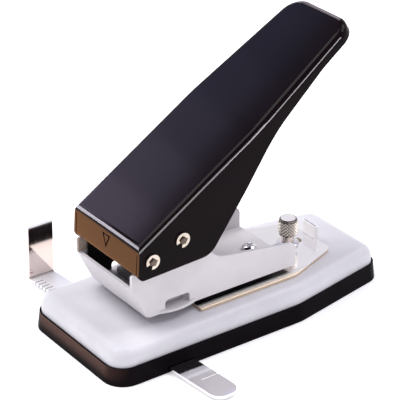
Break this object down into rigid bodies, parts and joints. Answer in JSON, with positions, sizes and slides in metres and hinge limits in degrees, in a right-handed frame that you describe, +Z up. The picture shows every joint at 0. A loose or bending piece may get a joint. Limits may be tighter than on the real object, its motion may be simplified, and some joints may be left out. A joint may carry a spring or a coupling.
{
  "type": "hole punch",
  "caption": "Table-top card slot punch with a raised black lever, grey channel frame on a rounded base, chip tray, sliding side guide and depth stop.",
  "frame": {"origin": "centre of the chip tray's underside, on the table", "axes": "+Z up, -Y the side the card goes in from, +X the side the guide's tongue comes out of"},
  "size_m": [0.1314, 0.1526, 0.1281],
  "materials": {
    "black_plastic": "satin black moulded plastic",
    "base_paint": "light grey baked paint on a cast base",
    "frame_paint": "light warm grey baked paint",
    "handle_paint": "glossy black baked paint",
    "chrome_plate": "polished chrome plate",
    "nickel": "nickel plated steel",
    "steel": "ground steel",
    "punch_steel": "hardened steel, dark",
    "nylon": "natural nylon"
  },
  "bodies": {
    "body": {"chip_tray": "black_plastic", "base": "base_paint", "die_insert": "steel", "frame": "frame_paint", "frame_spacer": "steel", "frame_screw_rear": "chrome_plate", "frame_screw_front": "chrome_plate", "punch_guide": "steel", "guide_screw_l": "nickel", "guide_screw_r": "nickel", "return_spring": "steel", "pivot_pin": "nickel", "pivot_clip_r": "nickel", "pivot_clip_l": "nickel", "pivot_washer_r": "nylon", "pivot_washer_l": "nylon"},
    "lever": {"handle": "handle_paint", "drive_pin": "nickel", "drive_clip_r": "nickel", "drive_clip_l": "nickel"},
    "punch": {"punch": "punch_steel"},
    "side_guide": {"side_guide": "chrome_plate"},
    "depth_stop": {"depth_stop": "chrome_plate"},
    "thumb": {"thumb_screw": "nickel", "thumb_washer": "chrome_plate"}
  },
  "joints": [
    {"name": "handle_hinge", "type": "hinge", "parent": "body", "child": "lever", "pos_m": [0, -0.05075, 0.0495], "axis": [1, 0, 0], "range_deg": [-21, 0], "stiffness_Nm_per_rad": 0.6, "springref_deg": 20.05},
    {"name": "punch_slide", "type": "slide", "parent": "body", "child": "punch", "axis": [0, 0, 1], "range_m": [-0.006, 0], "deforming": ["return_spring"]},
    {"name": "side_guide_slide", "type": "slide", "parent": "body", "child": "side_guide", "axis": [0.9963, 0.0854, 0], "range_m": [-0.026, 0.027]},
    {"name": "depth_stop_slide", "type": "slide", "parent": "body", "child": "depth_stop", "axis": [0, 1, 0], "range_m": [-0.004, 0.004]},
    {"name": "thumb_turn", "type": "hinge", "parent": "body", "child": "thumb", "pos_m": [0, 0.04075, 0.025], "axis": [0, 0, 1], "range_deg": [-180, 180]}
  ],
  "couplings": [
    {"joint": "punch_slide", "follows": "handle_hinge", "m_per_rad": 0.016}
  ]
}
